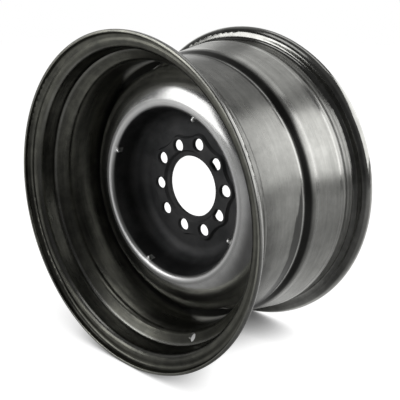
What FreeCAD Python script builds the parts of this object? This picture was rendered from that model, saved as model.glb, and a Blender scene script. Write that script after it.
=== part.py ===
"""A bare steel car wheel: a rolled drop-centre rim, a pressed centre disc and the welds that join them.

Millimetres. The wheel's axis is Y, its street side faces -Y and +Z is up. The origin is on the axis, midway
between the two flange lips. Sections are drawn as (radius, y) and turned about the axis.
"""

import FreeCAD, Part
import math
import os

# Rim: standard sizes of the bead seat and flange, and the rolled sheet
rim_width = 203.2
bead_seat_diameter = 380.2
flange_height = 17.5
flange_lip = 12.7
rim_gauge = 3.6
lip_edge_round = 1.0
flange_radius = 9.5
heel_radius = 6.0
seat_taper_deg = 5.0
seat_width = 19.0
hump_height = 0.8
hump_run = 5.0
hump_radius = 4.0
ledge_hump_run = 9.0

# Rim: the drop-centre well, whose floor carries the disc
well_depth = 16.6
front_wall_deg = 50.0
front_top_radius = 6.5
front_foot_radius = 6.0
back_wall_deg = 28.0
back_wall_rise = 5.4
back_foot_radius = 10.0
back_top_radius = 25.0
well_spare = 2.2

# Rim: valve hole through the front wall of the well
valve_hole_diameter = 11.5
valve_height = 5.6
valve_turn_deg = -64.5

# Centre disc: the pressing
disc_gauge = 4.5
backspace = 99.8
hub_bore_diameter = 82.55
bore_edge_round = 0.4
bowl_radius = 110.0
bowl_depth = 45.6
bowl_draft_deg = 10.0
bowl_edge_radius = 8.0
crown_share = 0.485
crown_flat = 0.5
flank_deg = 42.0
skirt_radius = 16.0
skirt_length = 15.0
seat_clearance = 0.05

# Centre disc: cooling gaps between its trimmed edge and the rim
disc_turn_deg = -67.5
gap_count = 2
gap_depth = 10.3
gap_half_deg = 26.0

# Centre disc: two interleaved lug circles on one raised land
lug_count = 5
small_lug_circle = 114.3
large_lug_circle = 120.65
lug_hole_diameter = 15.6
lug_seat_diameter = 18.6
lug_seat_deg = 60.0
lug_boss_diameter = 29.2
land_height = 4.0
land_slope_run = 2.6
land_waist_radius = 45.0
pad_margin = 6.9
bore_collar = 5.8

# Centre disc: hub-cap nubs
nub_count = 4
nub_diameter = 5.6
nub_height = 5.0
nub_tilt_deg = 24.0
nub_dimple_diameter = 3.0

# Welds between the disc's skirt and the well
weld_count = 4
weld_leg = 4.0
weld_half_deg = 16.0
weld_bulge = 0.7

# Levels and radii that several pieces share
AXIS = FreeCAD.Vector(0, 1, 0)
ORIGIN = FreeCAD.Vector(0, 0, 0)
lip_y = rim_width / 2 + flange_lip
flange_y = rim_width / 2
seat_r = bead_seat_diameter / 2
rim_r = seat_r + flange_height
floor_r = seat_r - well_depth
skirt_r = floor_r - rim_gauge - seat_clearance
mount_y = lip_y - backspace
pad_y = mount_y - disc_gauge
crown_y = pad_y - bowl_depth


def point(r, y):
    """A section point."""
    return FreeCAD.Vector(r, y, 0)


def slope(degrees):
    """The rise for a run of one."""
    return math.tan(math.radians(degrees))


def left_of(direction):
    """The unit vector to the left of a direction in the section plane."""
    return FreeCAD.Vector(-direction.y, direction.x, 0)


def corner(before, at, after, radius, gauge):
    """One bend of a sheet: its arc on the drawn side and on the side a gauge to the left."""
    into = (at - before).normalize()
    out = (after - at).normalize()
    turn = math.atan2(into.cross(out).z, into.dot(out))
    side = math.copysign(1, turn)
    tangent = radius * math.tan(abs(turn) / 2)
    start = at - into * tangent
    end = at + out * tangent
    centre = start + left_of(into) * (side * radius)
    middle = (at - centre).normalize()
    drawn = (start, centre + middle * radius, end)
    far_radius = radius - side * gauge
    far = (start + left_of(into) * gauge, centre + middle * far_radius, end + left_of(out) * gauge)
    return drawn, far


def cap(edge, direction, across, gauge, edge_round):
    """The end of a sheet, from the drawn side to the far side, with both corners rounded."""
    if edge_round == 0:
        return [Part.LineSegment(edge, edge + across * gauge)]
    inset = edge_round * (1 - math.sqrt(0.5))
    low = [edge - direction * edge_round, edge + across * inset - direction * inset, edge + across * edge_round]
    high = edge + across * gauge
    top = [high - across * edge_round, high - across * inset - direction * inset, high - direction * edge_round]
    return [Part.Arc(*low), Part.LineSegment(low[2], top[0]), Part.Arc(*top)]


def sheet_face(path, radii, gauge, start_round, end_round):
    """The section of a bent sheet: the drawn side follows path, the far side lies a gauge to its left."""
    bends = []
    for i, radius in enumerate(radii, start=1):
        bends.append(corner(path[i - 1], path[i], path[i + 1], radius, gauge))
    first = (path[1] - path[0]).normalize()
    last = (path[-1] - path[-2]).normalize()
    curves = []
    drawn = path[0] + first * start_round
    for near, far in bends:
        curves.append(Part.LineSegment(drawn, near[0]))
        curves.append(Part.Arc(*near))
        drawn = near[2]
    curves.append(Part.LineSegment(drawn, path[-1] - last * end_round))
    curves += cap(path[-1], last, left_of(last), gauge, end_round)
    drawn = path[-1] + left_of(last) * gauge - last * end_round
    for near, far in reversed(bends):
        curves.append(Part.LineSegment(drawn, far[2]))
        curves.append(Part.Arc(far[2], far[1], far[0]))
        drawn = far[0]
    start_far = path[0] + left_of(first) * gauge
    curves.append(Part.LineSegment(drawn, start_far + first * start_round))
    curves += cap(start_far, first * -1, left_of(first) * -1, gauge, start_round)
    return Part.Face(Part.Wire([curve.toShape() for curve in curves]))


def turned(face, degrees=360.0):
    """A section turned about the wheel's axis."""
    return face.revolve(ORIGIN, AXIS, degrees)


def around(shape, degrees):
    """A copy turned about the axis; zero lies along +X and positive turns towards +Z."""
    copy = shape.copy()
    copy.rotate(ORIGIN, AXIS, -degrees)
    return copy


def frustum(r, y_from, y_to, radius_from, radius_to):
    """A cone or cylinder parallel to the axis, centred at radius r on +X."""
    direction = FreeCAD.Vector(0, math.copysign(1, y_to - y_from), 0)
    centre = FreeCAD.Vector(r, y_from, 0)
    height = abs(y_to - y_from)
    if radius_from == radius_to:
        return Part.makeCylinder(radius_from, height, centre, direction)
    return Part.makeCone(radius_from, radius_to, height, centre, direction)


def rim_side(sign):
    """The tyre side of one flange, from its lip to the toe of its bead seat, with bend radii after the lip."""
    toe_y = flange_y - seat_width
    toe_r = seat_r - seat_width * slope(seat_taper_deg)
    path = [
        point(rim_r, sign * lip_y),
        point(rim_r, sign * flange_y),
        point(seat_r, sign * flange_y),
        point(toe_r, sign * toe_y),
        point(toe_r + hump_height, sign * (toe_y - hump_run)),
    ]
    return path, [flange_radius, heel_radius, hump_radius, hump_radius]


def disc_path():
    """The street side of the disc's section, from the hub bore out to the end of its skirt."""
    foot_r = bowl_radius - bowl_depth * slope(bowl_draft_deg)
    corner_r = bowl_radius + (skirt_r - bowl_radius) * crown_share
    half_turn = (90 - bowl_draft_deg) / 2
    pad_r = (large_lug_circle + lug_boss_diameter) / 2 + pad_margin
    foot_radius = (foot_r - pad_r) / slope(half_turn)
    edge_tangent = bowl_edge_radius * slope(half_turn)
    crown_radius = (corner_r - bowl_radius - edge_tangent - crown_flat) / slope(flank_deg / 2)
    skirt_y = crown_y + (skirt_r - corner_r) * slope(flank_deg)
    path = [
        point(hub_bore_diameter / 2, pad_y),
        point(foot_r, pad_y),
        point(bowl_radius, crown_y),
        point(corner_r, crown_y),
        point(skirt_r, skirt_y),
        point(skirt_r, skirt_y + skirt_length),
    ]
    return path, [foot_radius, bowl_edge_radius, crown_radius, skirt_radius]


def rim_path():
    """The tyre side of the rim's section, from the street lip to the inner lip."""
    front, front_radii = rim_side(-1)
    back, back_radii = rim_side(1)
    wall_top = front[-1]
    wall_run = (wall_top.x - floor_r) / slope(front_wall_deg)
    skirt_end = disc_path()[0][-1].y
    foot_y = skirt_end + weld_leg + well_spare + back_foot_radius * math.tan(math.radians(back_wall_deg) / 2)
    ledge_top = back[-1] + point(-2 * hump_height - hump_run * slope(seat_taper_deg), -ledge_hump_run)
    well = [
        point(floor_r, wall_top.y + wall_run),
        point(floor_r, foot_y),
        point(floor_r + back_wall_rise, foot_y + back_wall_rise / slope(back_wall_deg)),
        point(ledge_top.x, ledge_top.y),
    ]
    front_radii[-1] = front_top_radius
    well_radii = [front_foot_radius, back_foot_radius, back_top_radius, 2 * hump_radius]
    path = front + well + back[::-1]
    return path, front_radii + well_radii + back_radii[::-1]


def rim():
    """The rolled hoop with its valve hole."""
    path, radii = rim_path()
    hoop = turned(sheet_face(path, radii, rim_gauge, lip_edge_round, lip_edge_round))
    wall_top = rim_side(-1)[0][-1]
    wall_angle = math.radians(front_wall_deg)
    outward = FreeCAD.Vector(math.cos(wall_angle), math.sin(wall_angle), 0)
    valve_r = floor_r + valve_height
    middle = point(valve_r, wall_top.y + (wall_top.x - valve_r) / slope(front_wall_deg))
    reach = 3 * rim_gauge
    drill = Part.makeCylinder(valve_hole_diameter / 2, 2 * reach, middle - outward * reach, outward)
    return hoop.cut(around(drill, valve_turn_deg))


def lug_places():
    """Angle and circle radius of each lug hole; the large circle lines up with the disc's turn."""
    step = 360.0 / lug_count
    places = []
    for i in range(lug_count):
        places.append((disc_turn_deg + i * step, large_lug_circle / 2))
        places.append((disc_turn_deg + (i + 0.5) * step, small_lug_circle / 2))
    return places


def land_outline(y, inset):
    """The land's outer outline at level y: an arc round each lug hole, joined by hollow arcs."""
    boss_r = lug_boss_diameter / 2 - inset
    waist_r = land_waist_radius + inset
    span = boss_r + waist_r
    centres = []
    for degrees, r in lug_places():
        turn = math.radians(degrees)
        centres.append(FreeCAD.Vector(r * math.cos(turn), y, r * math.sin(turn)))
    arcs = []
    ends = []
    for here, there in zip(centres, centres[1:] + centres[:1]):
        half = (there - here) * 0.5
        outward = AXIS.cross(half).normalize()
        waist = here + half + outward * math.sqrt(span ** 2 - half.Length ** 2)
        leave = here + (waist - here) * (boss_r / span)
        meet = there + (waist - there) * (boss_r / span)
        arcs.append(Part.Arc(leave, waist - outward * waist_r, meet))
        ends.append((leave, meet))
    for i, centre in enumerate(centres):
        from_axis = (centre - AXIS * y).normalize()
        arcs.append(Part.Arc(ends[i - 1][1], centre + from_axis * boss_r, ends[i][0]))
    return Part.Wire(Part.__sortEdges__([arc.toShape() for arc in arcs]))


def lug_land(base_y, inset):
    """The lobed land round the lug holes, raised from base_y, its foot drawn in by inset."""
    top_y = base_y - land_height
    outlines = [land_outline(base_y, inset), land_outline(top_y, inset + land_slope_run)]
    land = Part.makeLoft(outlines, True, True)
    collar_r = hub_bore_diameter / 2 + bore_collar + inset
    collar = frustum(0, base_y, top_y, collar_r, collar_r + land_slope_run)
    return land.cut(collar)


def lug_drill(r):
    """One lug hole with its conical nut seat, as the solid to cut."""
    face_y = pad_y - land_height
    hole_r = lug_hole_diameter / 2
    seat = lug_seat_diameter / 2
    seat_depth = (seat - hole_r) / slope(lug_seat_deg / 2)
    overrun = land_height
    hole = frustum(r, face_y - overrun, mount_y + overrun, hole_r, hole_r)
    mouth = frustum(r, face_y - overrun, face_y, seat + overrun * slope(lug_seat_deg / 2), seat)
    cone = frustum(r, face_y, face_y + seat_depth, seat, hole_r)
    return hole.fuse([mouth, cone])


def nub(radius, start, direction, length):
    """A round-ended stud from start to its tip."""
    shank = Part.makeCylinder(radius, length - radius, start, direction)
    tip = Part.makeSphere(radius, start + direction * (length - radius))
    return shank.fuse(tip)


def nubs(disc):
    """The disc with its hub-cap nubs, pressed out of the bowl's edge bend, each with its dimple behind."""
    draft = math.radians(bowl_draft_deg)
    bend_r = bowl_radius + bowl_edge_radius * (1 / math.cos(draft) - math.tan(draft))
    bend = point(bend_r, crown_y + bowl_edge_radius)
    tilt = math.radians(nub_tilt_deg)
    inward = FreeCAD.Vector(-math.cos(tilt), -math.sin(tilt), 0)
    outer = nub_diameter / 2
    inner = nub_dimple_diameter / 2
    tip = bowl_edge_radius + nub_height
    root = bowl_edge_radius - disc_gauge / 2
    stud = nub(outer, bend + inward * root, inward, tip - root)
    dimple = nub(inner, bend, inward, tip - (outer - inner))
    for i in range(nub_count):
        angle = disc_turn_deg + (i + 0.5) * 360.0 / nub_count
        disc = disc.fuse(around(stud, angle))
        disc = disc.cut(around(dimple, angle))
    return disc


def trimmed(disc):
    """The disc with its edge cut back by shallow arcs, which leave the cooling gaps beside the rim."""
    half = math.radians(gap_half_deg)
    middle_r = skirt_r - gap_depth
    bow = middle_r - skirt_r * math.cos(half)
    trim_r = (bow ** 2 + (skirt_r * math.sin(half)) ** 2) / (2 * bow)
    height = 2 * lip_y
    blank = Part.makeCylinder(trim_r, height, FreeCAD.Vector(middle_r - trim_r, -lip_y, 0), AXIS)
    for i in range(gap_count):
        disc = disc.common(around(blank, disc_turn_deg + i * 360.0 / gap_count))
    return disc


def centre_disc():
    """The pressed centre."""
    path, radii = disc_path()
    disc = turned(sheet_face(path, radii, disc_gauge, bore_edge_round, 0))
    slope_angle = math.atan2(land_height, land_slope_run)
    disc = disc.fuse(lug_land(pad_y, 0))
    disc = disc.cut(lug_land(mount_y, disc_gauge * math.tan(slope_angle / 2)))
    for angle, r in lug_places():
        disc = disc.cut(around(lug_drill(r), angle))
    return trimmed(nubs(disc))


def disc_welds():
    """The fillet beads between the skirt's end and the well, clear of the cooling gaps."""
    skirt_end = disc_path()[0][-1].y
    root = point(skirt_r, skirt_end)
    toe = point(skirt_r, skirt_end + weld_leg)
    shoulder = point(skirt_r - weld_leg, skirt_end)
    bulge = (toe + shoulder) * 0.5 + FreeCAD.Vector(-weld_bulge, weld_bulge, 0)
    edges = [Part.LineSegment(shoulder, root), Part.LineSegment(root, toe), Part.Arc(toe, bulge, shoulder)]
    face = Part.Face(Part.Wire([edge.toShape() for edge in edges]))
    bead = turned(face, 2 * weld_half_deg)
    beads = []
    for i in range(weld_count):
        middle = disc_turn_deg + (i + 0.5) * 360.0 / weld_count
        beads.append(around(bead, middle + weld_half_deg))
    return Part.makeCompound(beads)


os.makedirs("parts", exist_ok=True)
rim().exportStep("parts/rim.step")
centre_disc().exportStep("parts/centre_disc.step")
disc_welds().exportStep("parts/disc_welds.step")
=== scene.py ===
"""Looks of a bare steel car wheel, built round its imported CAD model. Metres, in the CAD model's frame."""

import bpy
import math
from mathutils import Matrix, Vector


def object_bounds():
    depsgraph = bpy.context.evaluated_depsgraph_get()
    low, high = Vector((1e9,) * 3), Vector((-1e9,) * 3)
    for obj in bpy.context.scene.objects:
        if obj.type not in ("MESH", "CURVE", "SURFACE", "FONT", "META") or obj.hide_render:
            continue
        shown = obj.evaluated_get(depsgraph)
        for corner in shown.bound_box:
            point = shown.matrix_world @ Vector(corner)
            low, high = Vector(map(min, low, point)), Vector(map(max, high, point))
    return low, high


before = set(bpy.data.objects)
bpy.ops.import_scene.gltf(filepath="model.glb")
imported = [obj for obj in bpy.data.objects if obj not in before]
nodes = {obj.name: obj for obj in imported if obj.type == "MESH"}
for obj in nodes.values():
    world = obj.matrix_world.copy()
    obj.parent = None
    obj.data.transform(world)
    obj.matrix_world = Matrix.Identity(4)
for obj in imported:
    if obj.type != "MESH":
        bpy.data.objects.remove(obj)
cad_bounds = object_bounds()

# Camera, from a fit to the ellipses of the photo
CAMERA_PLACE = Vector((0.5579, -0.5843, 0.2226))
CAMERA_YAW = math.radians(-42.39)
CAMERA_PITCH = math.radians(-12.86)
CAMERA_LENS = 57.0
CAMERA_SHIFT = (-0.0015, -0.101)

# Stage
FLOOR_Z = cad_bounds[0].z
FLOOR_HALF = 8.0
BACKDROP = Vector((-0.9, 0.43, 0.0))
FLOOR_MIRRORED = 0.5
SHADOW_REACH = 0.06
SHADOW_SPREAD = 0.22
ROOM_FRONT = 0.075
ROOM_REAR = 0.25

# Rings on the section that are worn bare or lightened as painted highlight lines on bends: radius, place
# along the axis, and reach, all in metres
LIP_R = cad_bounds[1].x
LIP_Y = cad_bounds[1].y
WORN_AND_HIGHLIGHT_RINGS = [(LIP_R, LIP_Y, 0.005), (0.1738, 0.0134, 0.0028), (0.1785, 0.0345, 0.005), (0.1755, -0.0655, 0.0022),
          (0.1845, -0.0735, 0.0016)]
INSIDE_WORN_AND_HIGHLIGHT_RINGS = [(LIP_R, -LIP_Y, 0.005), (0.187, -0.1015, 0.004), (0.1835, -0.0775, 0.003)]
NUB_FLOOR_Y = -0.024


class Nodes:
    """A node tree that is written as expressions."""

    def __init__(self, tree):
        self.tree = tree
        tree.nodes.clear()

    def add(self, kind, **settings):
        node = self.tree.nodes.new(kind)
        for name, value in settings.items():
            setattr(node, name, value)
        return node

    def feed(self, socket, value):
        if isinstance(value, bpy.types.NodeSocket):
            self.tree.links.new(value, socket)
        else:
            socket.default_value = value

    def math(self, operation, *values):
        node = self.add("ShaderNodeMath", operation=operation)
        for socket, value in zip(node.inputs, values):
            self.feed(socket, value)
        return node.outputs[0]

    def total(self, first, *others):
        for other in others:
            first = self.math("ADD", first, other)
        return first

    def times(self, first, *others):
        for other in others:
            first = self.math("MULTIPLY", first, other)
        return first

    def dot(self, vector, other):
        node = self.add("ShaderNodeVectorMath", operation="DOT_PRODUCT")
        self.feed(node.inputs[0], vector)
        self.feed(node.inputs[1], other)
        return node.outputs["Value"]

    def ramp(self, value, low, high, start=0.0, end=1.0):
        """A smooth step from start at low to end at high."""
        node = self.add("ShaderNodeMapRange", interpolation_type="SMOOTHSTEP")
        for name, number in (("Value", value), ("From Min", low), ("From Max", high)):
            self.feed(node.inputs[name], number)
        self.feed(node.inputs["To Min"], start)
        self.feed(node.inputs["To Max"], end)
        return node.outputs[0]

    def mix(self, factor, first, second):
        """A blend of two colours."""
        node = self.add("ShaderNodeMix", data_type="RGBA")
        self.feed(node.inputs[0], factor)
        self.feed(node.inputs[6], first)
        self.feed(node.inputs[7], second)
        return node.outputs[2]

    def scaled(self, colour, factor):
        node = self.add("ShaderNodeVectorMath", operation="SCALE")
        self.feed(node.inputs[0], colour)
        self.feed(node.inputs["Scale"], factor)
        return node.outputs[0]

    def vector(self, *parts):
        node = self.add("ShaderNodeCombineXYZ")
        for socket, part in zip(node.inputs, parts):
            self.feed(socket, part)
        return node.outputs[0]

    def noise(self, vector, scale, detail=3.0, roughness=0.5):
        node = self.add("ShaderNodeTexNoise")
        self.feed(node.inputs["Vector"], vector)
        node.inputs["Scale"].default_value = scale
        node.inputs["Detail"].default_value = detail
        node.inputs["Roughness"].default_value = roughness
        return node.outputs["Fac"]

    def open_sky(self, reach):
        """1 where nothing stands within that reach, falling to 0 where all the sky is shut out."""
        node = self.add("ShaderNodeAmbientOcclusion", samples=32)
        node.inputs["Distance"].default_value = reach
        return node.outputs["AO"]

    def bump(self, height, depth, normal=None):
        """A bump of that depth in metres for a height from 0 to 1."""
        node = self.add("ShaderNodeBump")
        node.inputs["Strength"].default_value = 1.0
        node.inputs["Distance"].default_value = depth
        self.feed(node.inputs["Height"], height)
        if normal is not None:
            self.feed(node.inputs["Normal"], normal)
        return node.outputs["Normal"]


class Wheel(Nodes):
    """A material's nodes with the wheel's own coordinates: radius, place along the axis and turn."""

    def __init__(self, tree):
        super().__init__(tree)
        self.place = self.add("ShaderNodeTexCoord").outputs["Object"]
        split = self.add("ShaderNodeSeparateXYZ")
        self.feed(split.inputs[0], self.place)
        x, self.y, z = split.outputs
        self.r = self.math("SQRT", self.total(self.times(x, x), self.times(z, z)))
        self.cos = self.math("DIVIDE", x, self.r)
        self.sin = self.math("DIVIDE", z, self.r)
        self.radial = self.vector(self.cos, 0.0, self.sin)

    def streaks(self, across, along, detail=4.0):
        """Noise drawn out round the axis: fine across the section, long round the wheel."""
        section = self.total(self.times(self.y, across), self.times(self.r, 1.7 * across))
        turn = (self.times(self.cos, along), self.times(self.sin, along))
        return self.noise(self.vector(turn[0], section, turn[1]), 1.0, detail, 0.6)

    def ring(self, r, y, reach):
        """1 on a circle round the axis, falling to 0 at that reach from it."""
        out = self.math("SUBTRACT", self.r, r)
        along = self.math("SUBTRACT", self.y, y)
        away = self.math("SQRT", self.total(self.times(out, out), self.times(along, along)))
        return self.ramp(away, reach, 0.0)

    def rings(self, places):
        """The strongest of several such circles."""
        made = self.ring(*places[0])
        for place in places[1:]:
            made = self.math("MAXIMUM", made, self.ring(*place))
        return made

    def facing_in(self, normal):
        """1 on the barrel's inner side and on what faces the street, 0 on the tyre side."""
        outward = self.add("ShaderNodeVectorMath", operation="ADD")
        self.feed(outward.inputs[0], self.radial)
        outward.inputs[1].default_value = (0.0, 0.5, 0.0)
        return self.ramp(self.dot(normal, outward.outputs[0]), 0.05, -0.15)

    def tilted(self, normal, tilt, share):
        """The normal, drawn by that share to one that leans from the radius to the street by tilt degrees."""
        lean = self.times(tilt, math.pi / 180)
        level, drop = self.math("COSINE", lean), self.times(self.math("SINE", lean), -1.0)
        wanted = self.vector(self.times(self.cos, level), drop, self.times(self.sin, level))
        blend = self.add("ShaderNodeMix", data_type="VECTOR")
        self.feed(blend.inputs[0], share)
        self.feed(blend.inputs[4], normal)
        self.feed(blend.inputs[5], wanted)
        unit = self.add("ShaderNodeVectorMath", operation="NORMALIZE")
        self.feed(unit.inputs[0], blend.outputs[1])
        return unit.outputs[0]


def material(name, kind=Nodes):
    made = bpy.data.materials.new(name)
    made.use_nodes = True
    return made, kind(made.node_tree)


def add_camera():
    """The photo's camera: level, with its centre shifted as in the photo's crop."""
    data = bpy.data.cameras.new("camera")
    data.lens = CAMERA_LENS
    data.shift_x, data.shift_y = CAMERA_SHIFT
    data.clip_end = 50
    camera = bpy.data.objects.new("camera", data)
    level = math.cos(CAMERA_PITCH)
    forward = Vector((math.sin(CAMERA_YAW) * level, math.cos(CAMERA_YAW) * level, math.sin(CAMERA_PITCH)))
    camera.location = CAMERA_PLACE
    camera.rotation_mode = "QUATERNION"
    camera.rotation_quaternion = forward.to_track_quat("-Z", "Y")
    bpy.context.scene.collection.objects.link(camera)
    bpy.context.scene.camera = camera


def add_floor():
    """A white floor for the camera, with the wheel's soft shadow where the wheel shuts out the room."""
    mesh = bpy.data.meshes.new("floor")
    corners = [(-1, -1), (1, -1), (1, 1), (-1, 1)]
    mesh.from_pydata([(x * FLOOR_HALF, y * FLOOR_HALF, FLOOR_Z) for x, y in corners], [], [(0, 1, 2, 3)])
    floor = bpy.data.objects.new("floor", mesh)
    bpy.context.scene.collection.objects.link(floor)
    made, n = material("floor_white")
    place = n.add("ShaderNodeTexCoord").outputs["Object"]
    path = n.add("ShaderNodeLightPath").outputs
    heading = n.add("ShaderNodeVectorMath", operation="NORMALIZE")
    n.feed(heading.inputs[0], place)
    behind = n.ramp(n.dot(heading.outputs[0], BACKDROP), -0.6, -0.1, 0.0, FLOOR_MIRRORED)
    seen = n.total(path["Is Camera Ray"], n.times(path["Is Glossy Ray"], behind), path["Is Transmission Ray"])
    near = n.ramp(n.open_sky(SHADOW_REACH), 0.05, 0.85, 0.05, 1.0)
    wide = n.ramp(n.open_sky(SHADOW_SPREAD), 0.25, 0.9, 0.5, 1.0)
    left = n.ramp(n.dot(place, (1.0, 0.0, 0.0)), 0.06, -0.06)
    white = n.times(near, n.total(n.times(left, wide), n.math("SUBTRACT", 1.0, left)))
    glow = n.add("ShaderNodeEmission")
    glow.inputs["Color"].default_value = (1, 1, 1, 1)
    n.feed(glow.inputs["Strength"], n.times(seen, white))
    paint = n.add("ShaderNodeBsdfDiffuse")
    paint.inputs["Color"].default_value = (0.5, 0.5, 0.5, 1)
    both = n.add("ShaderNodeAddShader")
    n.feed(both.inputs[0], paint.outputs[0])
    n.feed(both.inputs[1], glow.outputs[0])
    n.feed(n.add("ShaderNodeOutputMaterial").inputs["Surface"], both.outputs[0])
    mesh.materials.append(made)


def add_world():
    """A white backdrop, for the camera and in the metal, in a room with a pale rear and a dim front."""
    world = bpy.data.worlds.new("studio")
    bpy.context.scene.world = world
    world.use_nodes = True
    n = Nodes(world.node_tree)
    direction = n.add("ShaderNodeTexCoord").outputs["Generated"]
    path = n.add("ShaderNodeLightPath").outputs
    ahead = n.dot(direction, BACKDROP)
    room = n.ramp(ahead, 0.3, 0.8, ROOM_FRONT, ROOM_REAR)
    mirrored = n.times(path["Is Glossy Ray"], n.ramp(ahead, 0.75, 0.95))
    seen = n.total(path["Is Camera Ray"], mirrored, path["Is Transmission Ray"])
    light = n.add("ShaderNodeBackground")
    light.inputs["Color"].default_value = (1, 1, 1, 1)
    n.feed(light.inputs["Strength"], n.math("MAXIMUM", room, seen))
    n.feed(n.add("ShaderNodeOutputWorld").inputs["Surface"], light.outputs[0])


def add_softbox(name, azimuth, elevation, distance, size, radiance):
    """A soft light that faces the wheel from that azimuth, counted from +Y towards +X, and elevation."""
    data = bpy.data.lights.new(name, "AREA")
    data.shape = "RECTANGLE"
    data.size, data.size_y = size
    data.energy = radiance * math.pi * size[0] * size[1]
    light = bpy.data.objects.new(name, data)
    turn, tilt = math.radians(azimuth), math.radians(elevation)
    level = math.cos(tilt)
    towards = Vector((math.sin(turn) * level, math.cos(turn) * level, math.sin(tilt)))
    light.location = towards * distance
    light.rotation_mode = "QUATERNION"
    light.rotation_quaternion = (-towards).to_track_quat("-Z", "Y")
    bpy.context.scene.collection.objects.link(light)


def metal(n):
    """A metal shader, joined to the material's output."""
    shader = n.add("ShaderNodeBsdfPrincipled")
    shader.inputs["Metallic"].default_value = 1.0
    n.feed(n.add("ShaderNodeOutputMaterial").inputs["Surface"], shader.outputs[0])
    return shader.inputs


def rim_steel():
    """Bare rolled steel: drawn streaks on the tyre side, a darker inside that is partly painted shade,
    darkening and painted shade in the well, worn lips and painted highlight lines on bends.
    """
    made, n = material("rim_steel", Wheel)
    shader = metal(n)
    normal = n.add("ShaderNodeNewGeometry").outputs["Normal"]
    fine = n.streaks(1600.0, 5.0)
    broad = n.streaks(150.0, 2.0)
    blotch = n.noise(n.place, 20.0, 5.0, 0.62)
    mottle = n.noise(n.place, 46.0, 6.0, 0.7)
    flange = n.ramp(n.y, 0.0955, 0.0985)
    inside = n.times(n.facing_in(normal), n.math("SUBTRACT", 1.0, flange))
    tyre_side = n.math("SUBTRACT", 1.0, inside)
    patchy = n.ramp(blotch, 0.3, 0.6, 0.5, 1.0)
    # The hump's crest, the lip, the bends and the well's ridge get lightened lines as painted highlights, the
    # lips also as wear; inside, the lines are fainter and strongest low down.
    crest = n.times(n.ramp(n.y, 0.0715, 0.0735), n.ramp(n.y, 0.0765, 0.0745), tyre_side)
    lip = n.times(n.ring(LIP_R - 0.001, 0.006 - LIP_Y, 0.007), tyre_side)
    low = n.ramp(n.sin, 0.3, -0.6)
    wear_and_highlight = n.total(n.rings(WORN_AND_HIGHLIGHT_RINGS), n.times(n.rings(INSIDE_WORN_AND_HIGHLIGHT_RINGS), n.total(0.15, n.times(low, 0.2))))
    wear_and_highlight = n.times(n.math("MAXIMUM", wear_and_highlight, n.math("MAXIMUM", crest, lip)), patchy)
    tone = n.ramp(n.total(n.times(broad, 0.5), n.times(blotch, 0.5)), 0.34, 0.66)
    level = n.total(n.ramp(n.y, -0.052, -0.034, 0.66, 0.9), n.ramp(n.y, 0.026, 0.034, 0.0, 0.25))
    level = n.total(level, n.ramp(mottle, 0.35, 0.65, -0.09, 0.09))
    level = n.total(level, n.times(flange, n.ramp(n.r, 0.2055, 0.2035), -0.6))
    outer = n.scaled(n.mix(tone, (0.39, 0.39, 0.37, 1), (0.51, 0.51, 0.485, 1)), level)
    # The inside is a darker steel with an oily mottle, its darkness partly painted shade.
    oily = n.ramp(n.total(n.times(mottle, 0.5), n.times(broad, 0.5)), 0.38, 0.62)
    inner = n.mix(oily, (0.08, 0.08, 0.071, 1), (0.15, 0.15, 0.128, 1))
    # Painted light and shade on the inside: the seat and the wall's foot bend are lightened as painted
    # highlights, the bend most low down; the wall is darkened as painted shade except low down; the front
    # flange is a little darker and its lip lighter; the floor is darker just behind the bend and lighter near
    # the disc.
    wall = n.times(n.ramp(n.y, -0.086, -0.080), n.ramp(n.y, -0.062, -0.068))
    seat = n.times(n.ramp(n.y, -0.1, -0.096), n.ramp(n.y, -0.081, -0.086))
    bend = n.times(n.ramp(n.y, -0.071, -0.067), n.ramp(n.y, -0.053, -0.06))
    depth = n.total(n.ramp(n.y, -0.103, -0.098, 0.75, 1.0), n.ramp(n.y, -0.107, -0.111, 0.0, 0.8))
    depth = n.total(depth, n.times(wall, n.total(n.times(low, 0.3), -0.35)), n.times(seat, 0.9))
    depth = n.total(depth, n.times(bend, n.total(n.times(low, 0.2), 0.4)))
    depth = n.total(depth, n.ramp(n.y, -0.06, -0.052, 0.0, -0.3), n.ramp(n.y, -0.046, -0.03, 0.0, 0.75))
    inner = n.scaled(inner, depth)
    hidden = n.times(n.ramp(n.y, -0.024, -0.008), inside)

    # Darkening runs along the well's back foot, wider below the axis and near the top; over the back wall
    # lies a band of painted shade, weaker at the very top.
    wander = n.times(n.math("SUBTRACT", n.streaks(420.0, 7.0), 0.5), 0.012)
    spread = n.total(n.ramp(n.sin, -0.15, 0.34, -0.0045, 0.014), n.ramp(n.sin, 0.45, 0.62, 0.0, -0.006))
    past = n.math("SUBTRACT", n.total(n.y, wander), spread)
    foot_darkening = n.times(n.ramp(past, -0.001, 0.003, 0.0, 0.82), n.ramp(n.y, 0.027, 0.023), tyre_side)
    painted_shade_band = n.times(n.ramp(n.y, 0.0135, 0.0165), n.ramp(n.y, 0.0275, 0.023), tyre_side)
    painted_shade_band = n.times(painted_shade_band, n.ramp(n.sin, 0.9, 0.74, 0.45, 1.0))
    foot_darkening_and_shade = n.math("MAXIMUM", foot_darkening, n.times(painted_shade_band, 0.93))

    steel = n.mix(inside, outer, inner)
    # Painted shade: the foot darkening, the band and the inside behind the disc are drawn to a very dark
    # grey, behind the disc less so towards the rear lip.
    darkening_and_painted_shade = n.math("MAXIMUM", foot_darkening_and_shade, n.times(hidden, n.ramp(n.y, 0.02, 0.06, 0.93, 0.3)))
    steel = n.mix(darkening_and_painted_shade, steel, (0.035, 0.035, 0.033, 1))
    # Worn lips and the painted highlight lines are lightened towards pale steel.
    n.feed(shader["Base Color"], n.mix(n.times(wear_and_highlight, 0.85), steel, (0.74, 0.74, 0.71, 1)))
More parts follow.
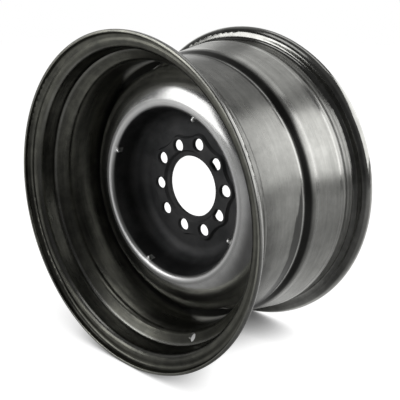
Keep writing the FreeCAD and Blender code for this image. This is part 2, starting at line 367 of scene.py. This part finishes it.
    # Painted shade: grazing reflections are dimmed on the inside and nearly put out behind the disc.
    shaded_edge_tint = n.mix(n.math("MAXIMUM", n.times(inside, 0.4), hidden), (1, 1, 1, 1), (0.05, 0.05, 0.05, 1))
    n.feed(shader["Specular Tint"], shaded_edge_tint)
    rough = n.total(0.19, n.times(fine, 0.10), n.times(blotch, 0.10), n.times(hidden, 0.4))
    smooth = n.math("MAXIMUM", n.times(wear_and_highlight, 0.12), n.times(flange, 0.14))
    n.feed(shader["Roughness"], n.math("SUBTRACT", rough, smooth))

    # The soft wave of the hump and the seat's wide fillet
    wave = n.total(n.ramp(n.y, 0.069, 0.073, 13.0, 17.0), n.ramp(n.y, 0.075, 0.084, 0.0, -18.0))
    wave = n.total(wave, n.ramp(n.y, 0.0845, 0.088, 0.0, 9.0), n.ramp(n.y, 0.091, 0.096, 0.0, 9.0))
    share = n.times(n.ramp(n.y, 0.064, 0.068), n.ramp(n.y, 0.0985, 0.0965), tyre_side)
    drawn = n.tilted(normal, wave, share)
    n.feed(shader["Normal"], n.bump(fine, 0.00002, n.bump(blotch, 0.00015, drawn)))
    return made


def disc_steel():
    """Pressed steel: a bowl darkened as painted shade, a crown lightened on its outer slope as painted light,
    and between them an edge ring and nubs lightened as painted highlights.
    """
    made, n = material("disc_steel", Wheel)
    shader = metal(n)
    fine = n.streaks(900.0, 6.0)
    blotch = n.noise(n.place, 24.0, 5.0, 0.6)
    tone = n.ramp(blotch, 0.35, 0.65)
    quarter = n.times(n.cos, n.sin, 4.0, n.math("SUBTRACT", n.times(n.sin, n.sin), n.times(n.cos, n.cos)))
    nubs = n.times(n.ramp(quarter, 0.986, 0.994), n.ramp(n.y, NUB_FLOOR_Y + 0.001, NUB_FLOOR_Y - 0.001))
    nubs = n.times(nubs, n.ramp(n.r, 0.1135, 0.1115))
    bowl = n.times(n.ramp(n.y, -0.0336, -0.031), n.ramp(n.r, 0.119, 0.114), n.math("SUBTRACT", 1.0, nubs))
    edge = n.times(n.ramp(n.r, 0.1225, 0.1195), n.ramp(fine, 0.3, 0.7, 0.8, 1.0))
    # Painted light: the crown's colour is lightened by half on its outer slope.
    flank_painted_light = n.ramp(n.r, 0.138, 0.15, 1.0, 1.5)
    crown = n.scaled(n.mix(tone, (0.30, 0.30, 0.296, 1), (0.37, 0.37, 0.366, 1)), flank_painted_light)
    # Painted shade: the bowl is far darker than the crown, lighter up its outer wall.
    bowl_painted_shade = n.mix(tone, (0.045, 0.046, 0.047, 1), (0.075, 0.075, 0.076, 1))
    bowl_painted_shade = n.scaled(bowl_painted_shade, n.ramp(n.r, 0.097, 0.103, 0.9, 1.7))
    # Painted highlight: the crown's inner edge is lightened towards its tightest bend; the edge ring is also
    # rougher and streaked.
    edge_colour_and_highlight = n.mix(n.ramp(n.r, 0.1145, 0.119), (0.54, 0.54, 0.535, 1), (0.31, 0.31, 0.306, 1))
    steel = n.mix(edge, crown, edge_colour_and_highlight)
    # The bowl takes its painted shade, and the nubs are lightened to pale steel as a painted highlight.
    steel = n.mix(nubs, n.mix(bowl, steel, bowl_painted_shade), (0.85, 0.85, 0.84, 1))
    n.feed(shader["Base Color"], steel)
    rough = n.total(0.1, n.times(fine, 0.10), n.times(blotch, 0.07), n.times(edge, 0.2))
    n.feed(shader["Roughness"], n.total(rough, n.times(bowl, 0.2)))
    normal = n.add("ShaderNodeNewGeometry").outputs["Normal"]
    land = n.times(n.ramp(n.r, 0.044, 0.046), n.ramp(n.r, 0.086, 0.082), bowl)
    soft = n.tilted(normal, 90.0, n.times(land, 0.45))
    n.feed(shader["Normal"], n.bump(fine, 0.00002, n.bump(blotch, 0.0001, soft)))
    return made


def weld_steel():
    """A rippled bead with heat tint."""
    made, n = material("weld_steel", Wheel)
    shader = metal(n)
    grain = n.noise(n.place, 260.0, 3.0)
    n.feed(shader["Base Color"], n.mix(grain, (0.10, 0.095, 0.09, 1), (0.24, 0.21, 0.18, 1)))
    n.feed(shader["Roughness"], n.total(0.35, n.times(grain, 0.25)))
    n.feed(shader["Normal"], n.bump(grain, 0.0003))
    return made


def dress(node, made):
    slots = nodes[node].data.materials
    slots.clear()
    slots.append(made)


add_camera()
add_floor()
add_world()
add_softbox("front_left_softbox", -147, 14, 1.5, (0.66, 0.72), 4.0)
add_softbox("right_rear_softbox", 47, 22, 1.6, (1.9, 1.1), 1.25)
add_softbox("overhead_front_softbox", -160, 66, 1.6, (0.8, 0.6), 1.2)
add_softbox("overhead_rear_softbox", 0, 56, 1.6, (1.2, 0.6), 0.5)
dress("rim", rim_steel())
dress("centre_disc", disc_steel())
dress("disc_welds", weld_steel())

bpy.context.scene.view_settings.view_transform = "Standard"
